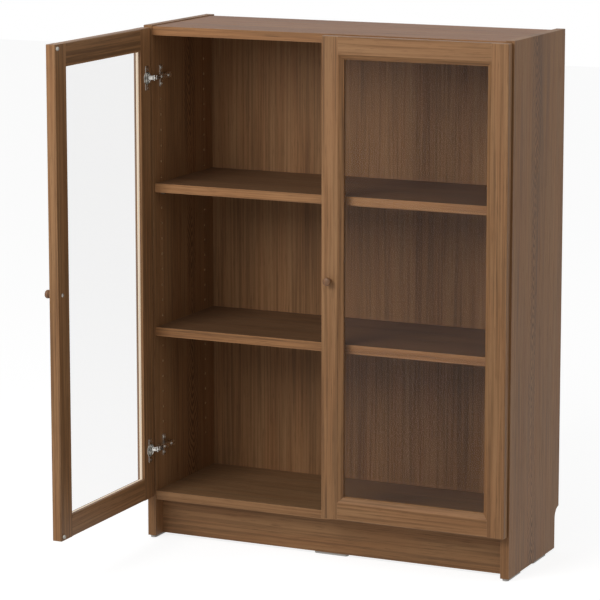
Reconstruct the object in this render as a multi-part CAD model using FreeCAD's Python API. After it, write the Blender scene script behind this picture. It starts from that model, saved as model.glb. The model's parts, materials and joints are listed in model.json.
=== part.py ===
import FreeCAD, Part
import math
import os

# Low bookcase with two glass doors.  Millimetres, +Z up, front towards -Y.
# The origin is the middle of the carcass footprint, on the floor.

# ---------------------------------------------------------------- carcass
carcass_width = 800.0
carcass_depth = 280.0
side_height = 1060.0
board_thickness = 18.0
glide_height = 5.0              # the sides and the plinth stand on glides
top_set_down = 2.0              # top board below the upper edge of the sides
end_board_recess = 3.0          # top and bottom boards behind the front edges
shelf_recess = 8.0              # middle shelves behind the front edges
bottom_board_height = 82.0      # underside of the bottom board
fixed_shelf_height = 426.0      # underside of the fixed middle shelf
plinth_recess = 32.0
skirting_notch_depth = 22.0     # cut-out that clears a room's skirting board
skirting_notch_height = 84.0
shelf_side_clearance = 0.8
shelf_back_clearance = 1.5

# ------------------------------------------------------------- back panel
back_thickness = 3.0
back_inset = 8.0                # rear face inside the sides' rear edges
back_groove_depth = 6.0
back_groove_clearance = 0.2
back_bottom_lap = 10.0          # lap over the rear edge of the bottom board
back_top_gap = 2.0
back_nail_radius = 0.8
back_nail_length = 18.0
back_nail_pitch = 260.0
back_nail_count = 3             # along each board
back_nail_clearance = 0.05

# Small round pieces and holes are drawn with few flats, and a radius is the
# distance from the axis to the flats.
small_side_count = 6
head_side_count = 8
cup_side_count = 12
knob_side_count = 12
cut_overrun = 1.0               # a cut stands out past the face it opens

# ----------------------------------------------- 32 mm system hole columns
hole_radius = 2.5
hole_depth = 12.0
hole_pitch = 32.0
hole_front_line = 37.0          # from the front edge of the side
hole_column_spacing = 192.0
first_hole_height = 176.0
last_hole_margin = 50.0         # the holes end at least this far below the top board
shelf_pin_hole = 17             # the adjustable shelf's hole, counted from 0
shelf_pin_shank_radius = 2.45
shelf_pin_shank_length = 10.0
shelf_pin_head_radius = 4.0
shelf_pin_head_length = 8.0

# ------------------------------------------------- cam fittings and dowels
fitting_line = 80.0             # cam bolts, in front of and behind the middle
cam_radius = 7.4
cam_height = 12.5
cam_inset = 24.0                # cam axis from the end of its board
cam_bolt_radius = 3.0
cam_bolt_thread_length = 11.0
dowel_radius = 3.95
dowel_side_depth = 11.0
dowel_board_depth = 18.0
fitting_clearance = 0.1

# ----------------------------------------------------------------- glides
glide_length = 74.0
glide_width = 13.0
glide_spigot_radius = 2.4
glide_spigot_length = 9.0
glide_spigot_spacing = 44.0
front_glide_inset = 2.0         # from the front edge to the end of the glide
rear_glide_centre = 40.0        # behind the middle of the carcass

# ------------------------------------------------------------------ doors
door_thickness = 20.0
door_gap = 1.5                  # between the carcass and the door's back
door_side_reveal = 3.5
door_centre_gap = 9.0           # between the two doors
door_bottom_lap = 9.0           # lower edge below the bottom board's upper face
door_top_drop = 4.0             # upper edge below the upper edge of the sides
door_edge_chamfer = 1.2
stile_flat = 35.0               # front face up to the bevel
frame_width = 45.0
bevel_depth = 8.0
back_lip_width = 38.0
glass_thickness = 4.0
glass_depth = 6.0               # behind the glass, from the door's back
glass_bite = 5.0                # glass edge inside the back lip
glass_groove_clearance = 0.2
glass_edge_clearance = 1.0
frame_dowel_radius = 3.95
frame_dowel_length = 50.0
frame_dowel_line = 18.0         # from the door's upper and lower end
left_door_open = 89.5           # degrees, as the bookcase stands
door_travel = 94.0              # degrees

# ------------------------------------------------------- knob and bumpers
knob_inset = 17.5               # knob axis from the free edge of the door
knob_radius = 8.5
knob_neck_radius = 5.5
knob_projection = 17.0
knob_screw_radius = 2.0
knob_screw_head_radius = 4.0
knob_screw_head_height = 1.4
knob_screw_reach = 9.0          # into the knob
bumper_radius = 4.0
bumper_inset = 8.0
bumper_clearance = 0.2

# ----------------------------------------------------------------- hinges
# Hinge points lie in the plane of the door's swing.  "Across" is measured
# from the side's inner face into the cabinet, "out" from the carcass front.
hinge_inset = 101.0             # wanted from the door's ends; the hole rows decide
cup_radius = 13.0
cup_wall = 0.8
cup_depth = 12.8
cup_edge_distance = 3.5         # cup wall to the door's edge
cup_hole_clearance = 0.1
flange_thickness = 1.0
flange_lap = 1.0                # round the cup's mouth
flange_height = 50.0
flange_width = 16.0
flange_screw_spacing = 39.0
pivot_radius = 0.95
pivot_clearance = 0.05
long_arm_pivot = (10.21, 0.03)      # across, out
short_arm_pivot = (9.87, 9.5)
long_cup_pivot = (7.22, 1.6)        # from the door's edge, into the door
short_cup_pivot = (9.43, 4.82)
long_link_ratio = -0.4814           # link angle for one degree of the door
short_link_ratio = -0.4759
link_sheet = 1.4                # the long link's two plates
link_gap = 0.4                  # between neighbouring plates on the pins
short_link_half = 2.0
link_web_half = 0.75
long_link_bow = 3.4             # outwards, off the line between its pins
short_link_bow = 4.0
knuckle_radius = 1.55
short_eye_play = 1.4            # the link loop is left open at this pivot
short_eye_wall = 0.8
arm_sheet = 1.2
arm_nose_radius = 2.1
arm_web_across = 12.2
arm_cheek_foot = 3.0
arm_rear_out = -62.0
arm_neck_out = -12.0
plate_base = 2.0
plate_wing_half = 22.0
plate_wing_width = 12.0
plate_ridge_half = 4.0
plate_ridge_height = 10.0
plate_front_out = -15.0
plate_rear_out = -60.0
plate_screw_head_radius = 3.6
plate_screw_head_height = 1.2
adjuster_out = (-20.0, -50.0)   # side adjusting screw, clamping screw
adjuster_radius = 2.2
adjuster_head_radius = 3.2
adjuster_head_height = 1.0
cup_screw_radius = 1.5
cup_screw_length = 13.0
cup_screw_head_radius = 3.0

# --------------------------------------------------------- derived places
half_width = carcass_width / 2
inner_x = half_width - board_thickness
front_y = -carcass_depth / 2
rear_y = carcass_depth / 2
side_bottom = glide_height
side_top = side_bottom + side_height
top_board_top = side_top - top_set_down
top_board_bottom = top_board_top - board_thickness
bottom_board_top = bottom_board_height + board_thickness
back_rear_y = rear_y - back_inset
back_front_y = back_rear_y - back_thickness
hole_front_y = front_y + hole_front_line
hole_rear_y = hole_front_y + hole_column_spacing
hole_run = top_board_bottom - last_hole_margin - first_hole_height
hole_count = 1 + int(hole_run // hole_pitch)
hole_heights = [first_hole_height + hole_pitch * n for n in range(hole_count)]
pin_height = hole_heights[shelf_pin_hole]
adjustable_shelf_height = pin_height + shelf_pin_head_radius
plinth_front_y = front_y + plinth_recess
plinth_rear_y = plinth_front_y + board_thickness
plinth_middle_y = (plinth_front_y + plinth_rear_y) / 2
door_width = half_width - door_side_reveal - door_centre_gap / 2
door_bottom = bottom_board_top - door_bottom_lap
door_top = side_top - door_top_drop
door_height = door_top - door_bottom
door_back_out = door_gap
door_edge_across = door_side_reveal - board_thickness
glass_back = glass_depth
pocket_edge = back_lip_width - glass_bite - glass_edge_clearance
glass_edge = back_lip_width - glass_bite


def between_holes(wanted):
    """Height halfway between the two system holes that lie nearest around it."""
    row = round((wanted - first_hole_height) / hole_pitch - 0.5)
    return first_hole_height + hole_pitch * (row + 0.5)


hinge_heights = {
    "upper": between_holes(door_top - hinge_inset),
    "lower": between_holes(door_bottom + hinge_inset),
}
cup_centre = cup_edge_distance + cup_radius


# ---------------------------------------------------------------- helpers
def vec(x, y, z):
    return FreeCAD.Vector(x, y, z)


def block(x0, x1, y0, y1, z0, z1):
    low = vec(min(x0, x1), min(y0, y1), min(z0, z1))
    return Part.makeBox(abs(x1 - x0), abs(y1 - y0), abs(z1 - z0), low)


def block_between(a, b):
    return block(a.x, b.x, a.y, b.y, a.z, b.z)


def flats_round(centre, axis, radius, flats):
    """Corners of a regular outline round an axis, its flats at the radius."""
    upright_axis = abs(axis.z) > 0.9 * axis.Length
    first = vec(1, 0, 0) if upright_axis else vec(0, 0, 1)
    second = axis.cross(first).normalize()
    corner = radius / math.cos(math.pi / flats)
    turns = [2 * math.pi * (n + 0.5) / flats for n in range(flats)]
    first, second = first * corner, second * corner
    return [centre + first * math.cos(t) + second * math.sin(t) for t in turns]


def rod(start, end, radius, flats=small_side_count):
    return prism(flats_round(start, end - start, radius, flats), end - start)


def prism(points, sweep):
    """Closed polygon through the points, swept along a vector."""
    return Part.Face(Part.makePolygon(points + [points[0]])).extrude(sweep)


def closed_face(corners):
    return Part.Face(Part.makePolygon(corners + [corners[0]]))


def turned(outline, base, tip, flats):
    """Solid between rings of flats: outline is (radius, height) along an axis."""
    way = (tip - base).normalize()
    rings = [flats_round(base + way * height, way, radius, flats) for radius, height in outline]
    faces = [closed_face(rings[0]), closed_face(rings[-1])]
    for lower, upper in zip(rings, rings[1:]):
        for n in range(flats):
            faces.append(closed_face([lower[n - 1], lower[n], upper[n], upper[n - 1]]))
    return Part.makeSolid(Part.makeShell(faces))


def fuse(pieces):
    return pieces[0].fuse(pieces[1:]).removeSplitter() if len(pieces) > 1 else pieces[0]


def mirrored(shape):
    return shape.mirror(vec(0, 0, 0), vec(1, 0, 0))


def save(name, pieces):
    shape = Part.makeCompound(pieces) if isinstance(pieces, list) else pieces
    shape.exportStep("parts/" + name + ".step")


# ------------------------------------------------------- joints of boards
def along_side(side, y, z, radius, from_inner, to_inner, flats=small_side_count):
    """Bar along X: distances run from the side's inner face outwards."""
    start = vec(side * (inner_x + from_inner), y, z)
    end = vec(side * (inner_x + to_inner), y, z)
    return rod(start, end, radius, flats)


def cam_bolt(side, y, z, clearance=0.0):
    """Bolt from the side panel to its cam; with a clearance it is the bore."""
    shaft = cam_bolt_radius + clearance
    reach = cam_bolt_thread_length + clearance
    return along_side(side, y, z, shaft, cam_radius - cam_inset, reach)


def cam(side, y, z, direction, clearance=0.0):
    """Cam lock, sunk from the face that direction points out of."""
    axis = vec(side * (inner_x - cam_inset), y, z)
    mouth = axis + direction * (board_thickness / 2)
    floor = mouth - direction * (cam_height + clearance)
    return rod(mouth, floor, cam_radius + clearance, head_side_count)


def dowel(side, y, z, clearance=0.0):
    inner = -dowel_board_depth - clearance
    return along_side(side, y, z, dowel_radius + clearance, inner, dowel_side_depth + clearance)


down = vec(0, 0, -1)
rearward = vec(0, 1, 0)
flat_boards = {
    "top_board": top_board_bottom + board_thickness / 2,
    "fixed_shelf": fixed_shelf_height + board_thickness / 2,
    "bottom_board": bottom_board_height + board_thickness / 2,
}
plinth_cam_height = side_bottom + 0.62 * (bottom_board_height - side_bottom)
plinth_dowel_height = side_bottom + 0.25 * (bottom_board_height - side_bottom)


def cam_places(name):
    if name == "plinth_board":
        return [(plinth_middle_y, plinth_cam_height, rearward)]
    return [(y, flat_boards[name], down) for y in (-fitting_line, fitting_line)]


def dowel_places(name):
    if name == "plinth_board":
        return [(plinth_middle_y, plinth_dowel_height)]
    return [(0.0, flat_boards[name])]


jointed_boards = list(flat_boards) + ["plinth_board"]


def board_cuts(name):
    cuts = []
    for side in (-1, 1):
        for y, z, direction in cam_places(name):
            cuts.append(cam(side, y, z, direction, fitting_clearance))
            cuts.append(cam_bolt(side, y, z, fitting_clearance))
        cuts += [dowel(side, y, z, fitting_clearance) for y, z in dowel_places(name)]
    return cuts


# ------------------------------------------------------------------ glides
def glide(centre, along):
    """Strip with round ends and two spigots that push into the board above."""
    up = vec(0, 0, glide_height)
    half = (glide_length - glide_width) / 2
    ends = []
    for sign in (-1, 1):
        hub = centre + along * (half * sign)
        ends.append(flats_round(hub, up, glide_width / 2, 2 * small_side_count))
    corners = [c for c in ends[0] if (c - centre).dot(along) < -half]
    corners += [c for c in ends[1] if (c - centre).dot(along) > half]
    corners.sort(key=lambda c: math.atan2(c.y - centre.y, c.x - centre.x))
    return fuse([prism(corners, up)] + glide_spigots(centre, along, 0))


def glide_spigots(centre, along, clearance):
    spigots = []
    for sign in (-1, 1):
        foot = centre + along * (sign * glide_spigot_spacing / 2) + vec(0, 0, glide_height)
        tip = foot + vec(0, 0, glide_spigot_length + clearance)
        spigots.append(rod(foot, tip, glide_spigot_radius + clearance))
    return spigots


side_glide_x = half_width - board_thickness / 2
side_glide_places = [front_y + front_glide_inset + glide_length / 2, rear_glide_centre]
plinth_glide_centre = vec(0, plinth_middle_y, 0)


# ------------------------------------------------------------- side panels
def side_outline():
    """Side seen from the end: the skirting notch ends in a quarter round."""
    notch_y = rear_y - skirting_notch_depth
    notch_top = side_bottom + skirting_notch_height
    arc_start = notch_top - skirting_notch_depth
    arc_middle_y = rear_y - skirting_notch_depth * math.cos(math.pi / 4)
    arc_middle_z = arc_start + skirting_notch_depth * math.sin(math.pi / 4)
    path = [vec(0, notch_y, side_bottom), vec(0, front_y, side_bottom)]
    path += [vec(0, front_y, side_top), vec(0, rear_y, side_top), vec(0, rear_y, notch_top)]
    edges = [Part.makeLine(a, b) for a, b in zip(path, path[1:])]
    end = vec(0, notch_y, arc_start)
    edges.append(Part.Arc(path[-1], vec(0, arc_middle_y, arc_middle_z), end).toShape())
    edges.append(Part.makeLine(end, path[0]))
    return Part.Face(Part.Wire(edges))


def system_holes(side):
    holes = []
    for z in hole_heights:
        if abs(z - flat_boards["fixed_shelf"]) > board_thickness / 2 + hole_radius:
            for y in (hole_front_y, hole_rear_y):
                holes.append(along_side(side, y, z, hole_radius, 0, hole_depth))
    return holes


def side_panel(side):
    panel = side_outline().extrude(vec(side * board_thickness, 0, 0))
    panel.translate(vec(side * inner_x, 0, 0))
    groove_front = back_front_y - back_groove_clearance
    groove_rear = back_rear_y + back_groove_clearance
    groove_end = inner_x + back_groove_depth
    near, far = side * inner_x, side * groove_end
    cuts = [block(near, far, groove_front, groove_rear, side_bottom, side_top)]
    cuts += system_holes(side)
    for name in jointed_boards:
        cuts += [cam_bolt(side, y, z, fitting_clearance) for y, z, direction in cam_places(name)]
        cuts += [dowel(side, y, z, fitting_clearance) for y, z in dowel_places(name)]
    for y in side_glide_places:
        cuts += glide_spigots(vec(side * side_glide_x, y, 0), vec(0, 1, 0), fitting_clearance)
    return panel.cut(cuts)


# ----------------------------------------------------------- inner boards
def flat_board(name, recess):
    z = flat_boards[name] - board_thickness / 2
    board = block(-inner_x, inner_x, front_y + recess, back_front_y, z, z + board_thickness)
    cuts = board_cuts(name)
    if name == "bottom_board":
        cuts += plinth_top_dowels(fitting_clearance)
    return board.cut(cuts + nail_bores())


def plinth_top_dowels(clearance):
    """Upright dowels between the plinth's upper edge and the bottom board."""
    bars = []
    for x in (-inner_x / 2, inner_x / 2):
        low = vec(x, plinth_middle_y, bottom_board_height - dowel_board_depth - clearance)
        high = vec(x, plinth_middle_y, bottom_board_height + dowel_side_depth + clearance)
        bars.append(rod(low, high, dowel_radius + clearance))
    return bars


def plinth_board():
    bottom, top = side_bottom, bottom_board_height
    board = block(-inner_x, inner_x, plinth_front_y, plinth_rear_y, bottom, top)
    cuts = board_cuts("plinth_board") + plinth_top_dowels(fitting_clearance)
    cuts += glide_spigots(plinth_glide_centre, vec(1, 0, 0), fitting_clearance)
    return board.cut(cuts)


def adjustable_shelf():
    end = inner_x - shelf_side_clearance
    rear = back_front_y - shelf_back_clearance
    low = adjustable_shelf_height
    return block(-end, end, front_y + shelf_recess, rear, low, low + board_thickness)


def shelf_pin(side, y):
    shank = along_side(side, y, pin_height, shelf_pin_shank_radius, 0, shelf_pin_shank_length)
    inner = -shelf_pin_head_length
    head = along_side(side, y, pin_height, shelf_pin_head_radius, inner, 0, head_side_count)
    return fuse([head, shank])


back_bottom = bottom_board_top - back_bottom_lap
back_top = top_board_top - back_top_gap


def back_nail_places():
    """Nails along the top board, the fixed shelf and the bottom board."""
    heights = [flat_boards["top_board"], flat_boards["fixed_shelf"]]
    heights.append((back_bottom + bottom_board_top) / 2)
    first = -back_nail_pitch * (back_nail_count - 1) / 2
    return [(first + n * back_nail_pitch, z) for z in heights for n in range(back_nail_count)]


def back_nail(x, z, clearance):
    start = vec(x, back_rear_y, z)
    tip = start - vec(0, back_nail_length + clearance, 0)
    return rod(start, tip, back_nail_radius + clearance)



def nail_bores():
    return [back_nail(x, z, back_nail_clearance) for x, z in back_nail_places()]


def back_panel():
    end = inner_x + back_groove_depth - back_groove_clearance
    return block(-end, end, back_front_y, back_rear_y, back_bottom, back_top)


# ------------------------------------------------------ hinge plane to X, Y
# Hinge and door pieces are modelled at the left side with the door closed,
# swung to their pose, and mirrored for the right side.
def at(across, out, z):
    return vec(-inner_x + across, front_y - out, z)


def on_door(along, into, z):
    """Place on the closed door: along from its hinge edge, into it from its back."""
    return at(door_edge_across + along, door_back_out + into, z)


def swung(shape, pivot, angle, target):
    """Turn a shape about an upright axis and carry that axis to the target."""
    turn = FreeCAD.Rotation(vec(0, 0, 1), -angle)
    place = FreeCAD.Placement(target - pivot, turn, pivot)
    moved = shape.copy()
    moved.Placement = place.multiply(shape.Placement)
    return moved


long_arm_axis = at(long_arm_pivot[0], long_arm_pivot[1], 0)
short_arm_axis = at(short_arm_pivot[0], short_arm_pivot[1], 0)
long_cup_axis = on_door(long_cup_pivot[0], long_cup_pivot[1], 0)
short_cup_axis = on_door(short_cup_pivot[0], short_cup_pivot[1], 0)


def turned_point(point, pivot, angle):
    return pivot + FreeCAD.Rotation(vec(0, 0, 1), -angle).multVec(point - pivot)


def long_cup_axis_at(opening):
    return turned_point(long_cup_axis, long_arm_axis, long_link_ratio * opening)


def short_cup_axis_at(opening):
    carried = turned_point(short_cup_axis, long_cup_axis, opening)
    return carried + long_cup_axis_at(opening) - long_cup_axis


def long_link_at(shape, opening):
    return swung(shape, long_arm_axis, long_link_ratio * opening, long_arm_axis)


def door_at(shape, opening):
    return swung(shape, long_cup_axis, opening, long_cup_axis_at(opening))


def short_link_at(shape, opening):
    return swung(shape, short_cup_axis, short_link_ratio * opening, short_cup_axis_at(opening))


# ------------------------------------------------------------ hinge pieces
link_base = short_link_half + link_gap          # long link's plates, off the middle
arm_cheek_inner = link_base + link_sheet + link_gap
arm_half = arm_cheek_inner + arm_sheet


def round_pin(point, low, high):
    """Hinge pin: a true round bar, as the links turn on it."""
    return Part.makeCylinder(pivot_radius, high - low, vec(point.x, point.y, low))


def upright(point, radius, low, high, flats=small_side_count):
    return rod(vec(point.x, point.y, low), vec(point.x, point.y, high), radius, flats)


def bowed_plate(start, end, bow, eye_radii, low, high):
    """Sheet strip with an eye at each end, bowed off the line of its pins."""
    run = end - start
    out = vec(-run.y, run.x, 0).normalize()
    if out.y > 0:
        out = out * -1
    middle = (start + end) * 0.5 + out * (2 * bow)
    line = []
    for n in range(5):
        t = n / 4.0
        line.append(start * (1 - t) ** 2 + middle * (2 * t * (1 - t)) + end * t ** 2)
    left, right = [], []
    for n, point in enumerate(line):
        ahead = (line[min(n + 1, 4)] - line[max(n - 1, 0)]).normalize()
        side = vec(-ahead.y, ahead.x, 0) * link_web_half
        left.append(point + side)
        right.append(point - side)
    corners = [vec(c.x, c.y, low) for c in left + right[::-1]]
    web = prism(corners, vec(0, 0, high - low))
    eyes = [upright(start, eye_radii[0], low, high, head_side_count)]
    eyes.append(upright(end, eye_radii[1], low, high))
    return fuse([web] + eyes)


def long_link(z):
    """Outer link: two bowed plates, one on each side of the short link."""
    plates = []
    bore = pivot_radius + pivot_clearance
    for low in (z - link_base - link_sheet, z + link_base):
        high = low + link_sheet
        eyes = (knuckle_radius, knuckle_radius)
        plate = bowed_plate(long_arm_axis, long_cup_axis, long_link_bow, eyes, low, high)
        bores = [upright(axis, bore, low, high) for axis in (long_arm_axis, long_cup_axis)]
        plates.append(plate.cut(bores))
    return Part.makeCompound(plates)


def short_link(z):
    """Inner link: its eye runs with play round the arm's front pin."""
    low, high = z - short_link_half, z + short_link_half
    eye = pivot_radius + short_eye_play
    eyes = (eye + short_eye_wall, knuckle_radius)
    plate = bowed_plate(short_arm_axis, short_cup_axis, short_link_bow, eyes, low, high)
    bores = [upright(short_arm_axis, eye, low, high)]
    bores.append(upright(short_cup_axis, pivot_radius + pivot_clearance, low, high))
    return plate.cut(bores)


def hinge_arm(z):
    """Sheet channel over the plate; its cheeks run out to the riveted pins."""
    web_inner = arm_web_across - arm_sheet
    pieces = [channel_block(web_inner, arm_web_across, z - arm_half, z + arm_half)]
    for low in (z - arm_half, z + arm_cheek_inner):
        pieces.append(prism([vec(c.x, c.y, low) for c in arm_cheek()], vec(0, 0, arm_sheet)))
    pieces.append(round_pin(long_arm_axis, z - arm_half, z + arm_half))
    pieces.append(upright(short_arm_axis, pivot_radius, z - arm_half, z + arm_half))
    bores = []
    for out in adjuster_out:
        inner = at(web_inner - cut_overrun, out, z)
        outer = at(arm_web_across + cut_overrun, out, z)
        bores.append(rod(inner, outer, adjuster_radius + fitting_clearance))
    return fuse(pieces).cut(bores)


def arm_cheek():
    """Outline of a cheek: channel side, neck and nose with clipped corners."""
    r = arm_nose_radius
    clip = 0.41 * r
    (u, v), (nose_u, nose_v) = long_arm_pivot, short_arm_pivot
    outline = [(arm_cheek_foot, arm_rear_out), (arm_web_across, arm_rear_out)]
    outline.append((arm_web_across, arm_neck_out))
    outline += [(u + r, v - r), (u + r, v + clip)]
    for a, b in ((r, -clip), (r, clip), (clip, r), (-clip, r), (-r, clip), (-r, -clip)):
        outline.append((nose_u + a, nose_v + b))
    outline += [(u - r, v + clip), (u - r, v - r), (arm_cheek_foot, arm_neck_out)]
    return [at(across, out, 0) for across, out in outline]


def channel_block(across0, across1, low, high):
    corner0 = at(across0, arm_rear_out, low)
    corner1 = at(across1, arm_neck_out, high)
    return block_between(corner0, corner1)


plate_screw_out = -hole_front_line


def mounting_plate(z):
    """Cross-shaped plate: two screwed wings and a ridge that carries the arm."""
    wing_low = at(0, plate_screw_out - plate_wing_width / 2, z - plate_wing_half)
    wing_high = at(plate_base, plate_screw_out + plate_wing_width / 2, z + plate_wing_half)
    wing = block_between(wing_low, wing_high)
    ridge_low = at(0, plate_rear_out, z - plate_ridge_half)
    ridge_high = at(plate_ridge_height, plate_front_out, z + plate_ridge_half)
    ridge = block_between(ridge_low, ridge_high)
    holes = []
    for h in screw_rows(z):
        holes.append(rod(at(0, plate_screw_out, h), at(plate_base, plate_screw_out, h), hole_radius))
    return fuse([wing, ridge]).cut(holes)


def screw_rows(z):
    return [z - hole_pitch / 2, z + hole_pitch / 2]


def plate_screw(z):
    neck = at(plate_base, plate_screw_out, z)
    shank = rod(at(-shelf_pin_shank_length, plate_screw_out, z), neck, shelf_pin_shank_radius)
    head_end = at(plate_base + plate_screw_head_height, plate_screw_out, z)
    return fuse([shank, rod(neck, head_end, plate_screw_head_radius, head_side_count)])


def adjuster(z, out):
    neck = at(arm_web_across, out, z)
    shank = rod(at(plate_ridge_height, out, z), neck, adjuster_radius)
    head_end = at(arm_web_across + adjuster_head_height, out, z)
    return fuse([shank, rod(neck, head_end, adjuster_head_radius, head_side_count)])


def hinge_cup(z):
    """Drawn steel cup with a flange; two riveted pins cross it inside."""
    mouth = on_door(cup_centre, -flange_thickness, z)
    floor = on_door(cup_centre, cup_depth, z)
    inner_floor = on_door(cup_centre, cup_depth - cup_wall, z)
    body = rod(on_door(cup_centre, 0, z), floor, cup_radius, cup_side_count)
    half_wide, half_tall = flange_width / 2, flange_height / 2
    flange_low = on_door(cup_centre - half_wide, -flange_thickness, z - half_tall)
    flange = block_between(flange_low, on_door(cup_centre + half_wide, 0, z + half_tall))
    rim = rod(mouth, on_door(cup_centre, 0, z), cup_radius + flange_lap, cup_side_count)
    cuts = [rod(mouth, inner_floor, cup_radius - cup_wall, cup_side_count)]
    cuts += [cup_screw(h, fitting_clearance) for h in cup_screw_rows(z)]
    return fuse([fuse([body, flange, rim]).cut(cuts)] + cup_pins(z))


def cup_pins(z):
    """Pins across the cup: their ends are riveted into its wall."""
    pins = []
    for axis, along in ((long_cup_axis, long_cup_pivot[0]), (short_cup_axis, short_cup_pivot[0])):
        offset = cup_centre - along + pivot_radius
        half = math.sqrt((cup_radius - cup_wall / 2) ** 2 - offset ** 2)
        pins.append(round_pin(axis, z - half, z + half))
    return pins


def cup_screw_rows(z):
    return [z - flange_screw_spacing / 2, z + flange_screw_spacing / 2]


def cup_screw(z, clearance=0.0):
    """Countersunk screw; with a clearance it is the hole for that screw."""
    face = on_door(cup_centre, -flange_thickness, z)
    head = cup_screw_head_radius + clearance
    shank = cup_screw_radius + clearance
    outline = [(head, 0), (shank, head - shank), (shank, cup_screw_length + clearance)]
    return turned(outline, face, on_door(cup_centre, cup_screw_length, z), small_side_count)


# -------------------------------------------------------------- door pieces
def frame_profile():
    """Section of the frame: (from the outer edge, from the back face)."""
    c = door_edge_chamfer
    t = door_thickness
    front_of_glass = glass_back + glass_thickness + 2 * glass_groove_clearance
    path = [(0, t - c), (0, c), (c, 0), (back_lip_width, 0), (back_lip_width, front_of_glass)]
    path += [(frame_width, front_of_glass), (frame_width, t - bevel_depth), (stile_flat, t), (c, t)]
    return path


def through_door(points):
    """Outline seen from the front, (along, height) pairs, cut through the door."""
    near = -cut_overrun
    flat = [on_door(along, near, door_bottom + height) for along, height in points]
    return prism(flat, on_door(0, door_thickness + cut_overrun, 0) - on_door(0, near, 0))


def glass_pocket():
    low = on_door(pocket_edge, glass_back, door_bottom + pocket_edge)
    depth = glass_back + glass_thickness + 2 * glass_groove_clearance
    high = on_door(door_width - pocket_edge, depth, door_top - pocket_edge)
    return block_between(low, high)


def stile(free):
    """Full-height member; its inner lip is mitred to the rails'."""
    def across(edge):
        return door_width - edge if free else edge
    section = [on_door(across(edge), depth, door_bottom) for edge, depth in frame_profile()]
    body = prism(section, vec(0, 0, door_height))
    flat, full, tall = stile_flat, frame_width, door_height
    plan = [(0, 0), (flat, 0), (flat, flat), (full, full)]
    plan += [(full, tall - full), (flat, tall - flat), (flat, tall), (0, tall)]
    body = body.common(through_door([(across(a), h) for a, h in plan]))
    return body.cut([glass_pocket()] + frame_dowel_bars(fitting_clearance))


def rail(upper):
    """Cross member between the stiles."""
    def height(edge):
        return door_height - edge if upper else edge
    section = [on_door(0, depth, door_bottom + height(edge)) for edge, depth in frame_profile()]
    body = prism(section, vec(door_width, 0, 0))
    flat, full, wide = stile_flat, frame_width, door_width
    plan = [(flat, 0), (wide - flat, 0), (wide - flat, flat)]
    plan += [(wide - full, full), (full, full), (flat, flat)]
    body = body.common(through_door([(a, height(h)) for a, h in plan]))
    return body.cut([glass_pocket()] + frame_dowel_bars(fitting_clearance))


def frame_dowel_bars(clearance):
    """Dowel across each corner joint of the frame."""
    bars = []
    half = frame_dowel_length / 2 + clearance
    depth = door_thickness / 2
    for joint in (stile_flat, door_width - stile_flat):
        for z in (door_bottom + frame_dowel_line, door_top - frame_dowel_line):
            start = on_door(joint - half, depth, z)
            end = on_door(joint + half, depth, z)
            bars.append(rod(start, end, frame_dowel_radius + clearance))
    return bars


def door_glass():
    low = on_door(glass_edge, glass_back + glass_groove_clearance, door_bottom + glass_edge)
    depth = glass_back + glass_groove_clearance + glass_thickness
    high = on_door(door_width - glass_edge, depth, door_top - glass_edge)
    return block_between(low, high)


knob_along = door_width - knob_inset
knob_height = (door_bottom + door_top) / 2


def knob():
    """Turned knob: a neck that flares into a slightly domed head."""
    r, n, h = knob_radius, knob_neck_radius, knob_projection
    outline = [(n, 0), (n, 0.3 * h), (r, 0.5 * h), (r, 0.88 * h), (0.86 * r, h)]
    body = turned(outline, knob_point(door_thickness), knob_point(door_thickness + h), knob_side_count)
    reach = door_thickness + knob_screw_reach + fitting_clearance
    bore = knob_screw_radius + fitting_clearance
    return body.cut(rod(knob_point(door_thickness), knob_point(reach), bore))


def knob_screw():
    low = knob_point(-knob_screw_head_height)
    head = rod(low, knob_point(0), knob_screw_head_radius, head_side_count)
    shank = rod(knob_point(0), knob_point(door_thickness + knob_screw_reach), knob_screw_radius)
    return fuse([head, shank])


def knob_point(depth):
    return on_door(knob_along, depth, knob_height)


def bumper(z):
    """Buffer that meets the front edge of the top or bottom board."""
    height = door_gap + end_board_recess - bumper_clearance
    r = bumper_radius
    outline = [(r, 0), (r, 0.5 * height), (0.7 * r, height)]
    base = on_door(door_width - bumper_inset, 0, z)
    return turned(outline, base, on_door(door_width - bumper_inset, -height, z), head_side_count)


def hinge_stile():
    bores = []
    for z in hinge_heights.values():
        depth = cup_depth + cup_hole_clearance
        hole = cup_radius + cup_hole_clearance
        bores.append(rod(on_door(cup_centre, 0, z), on_door(cup_centre, depth, z), hole, cup_side_count))
        bores += [cup_screw(h, fitting_clearance) for h in cup_screw_rows(z)]
    return stile(False).cut(bores)


def knob_stile():
    bore = knob_screw_radius + fitting_clearance
    return stile(True).cut(rod(knob_point(0), knob_point(door_thickness), bore))


def door_pieces():
    levels = list(hinge_heights.values())
    pieces = {
        "hinge_stile": hinge_stile(),
        "knob_stile": knob_stile(),
        "top_rail": rail(True),
        "bottom_rail": rail(False),
        "frame_dowels": frame_dowel_bars(0),
        "door_glass": door_glass(),
        "knob": knob(),
        "knob_screw": knob_screw(),
        "bumpers": [bumper(door_bottom + bumper_inset), bumper(door_top - bumper_inset)],
        "cup_screws": [cup_screw(h) for z in levels for h in cup_screw_rows(z)],
    }
    for level, z in hinge_heights.items():
        pieces[level + "_hinge_cup"] = hinge_cup(z)
    return pieces


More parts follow.
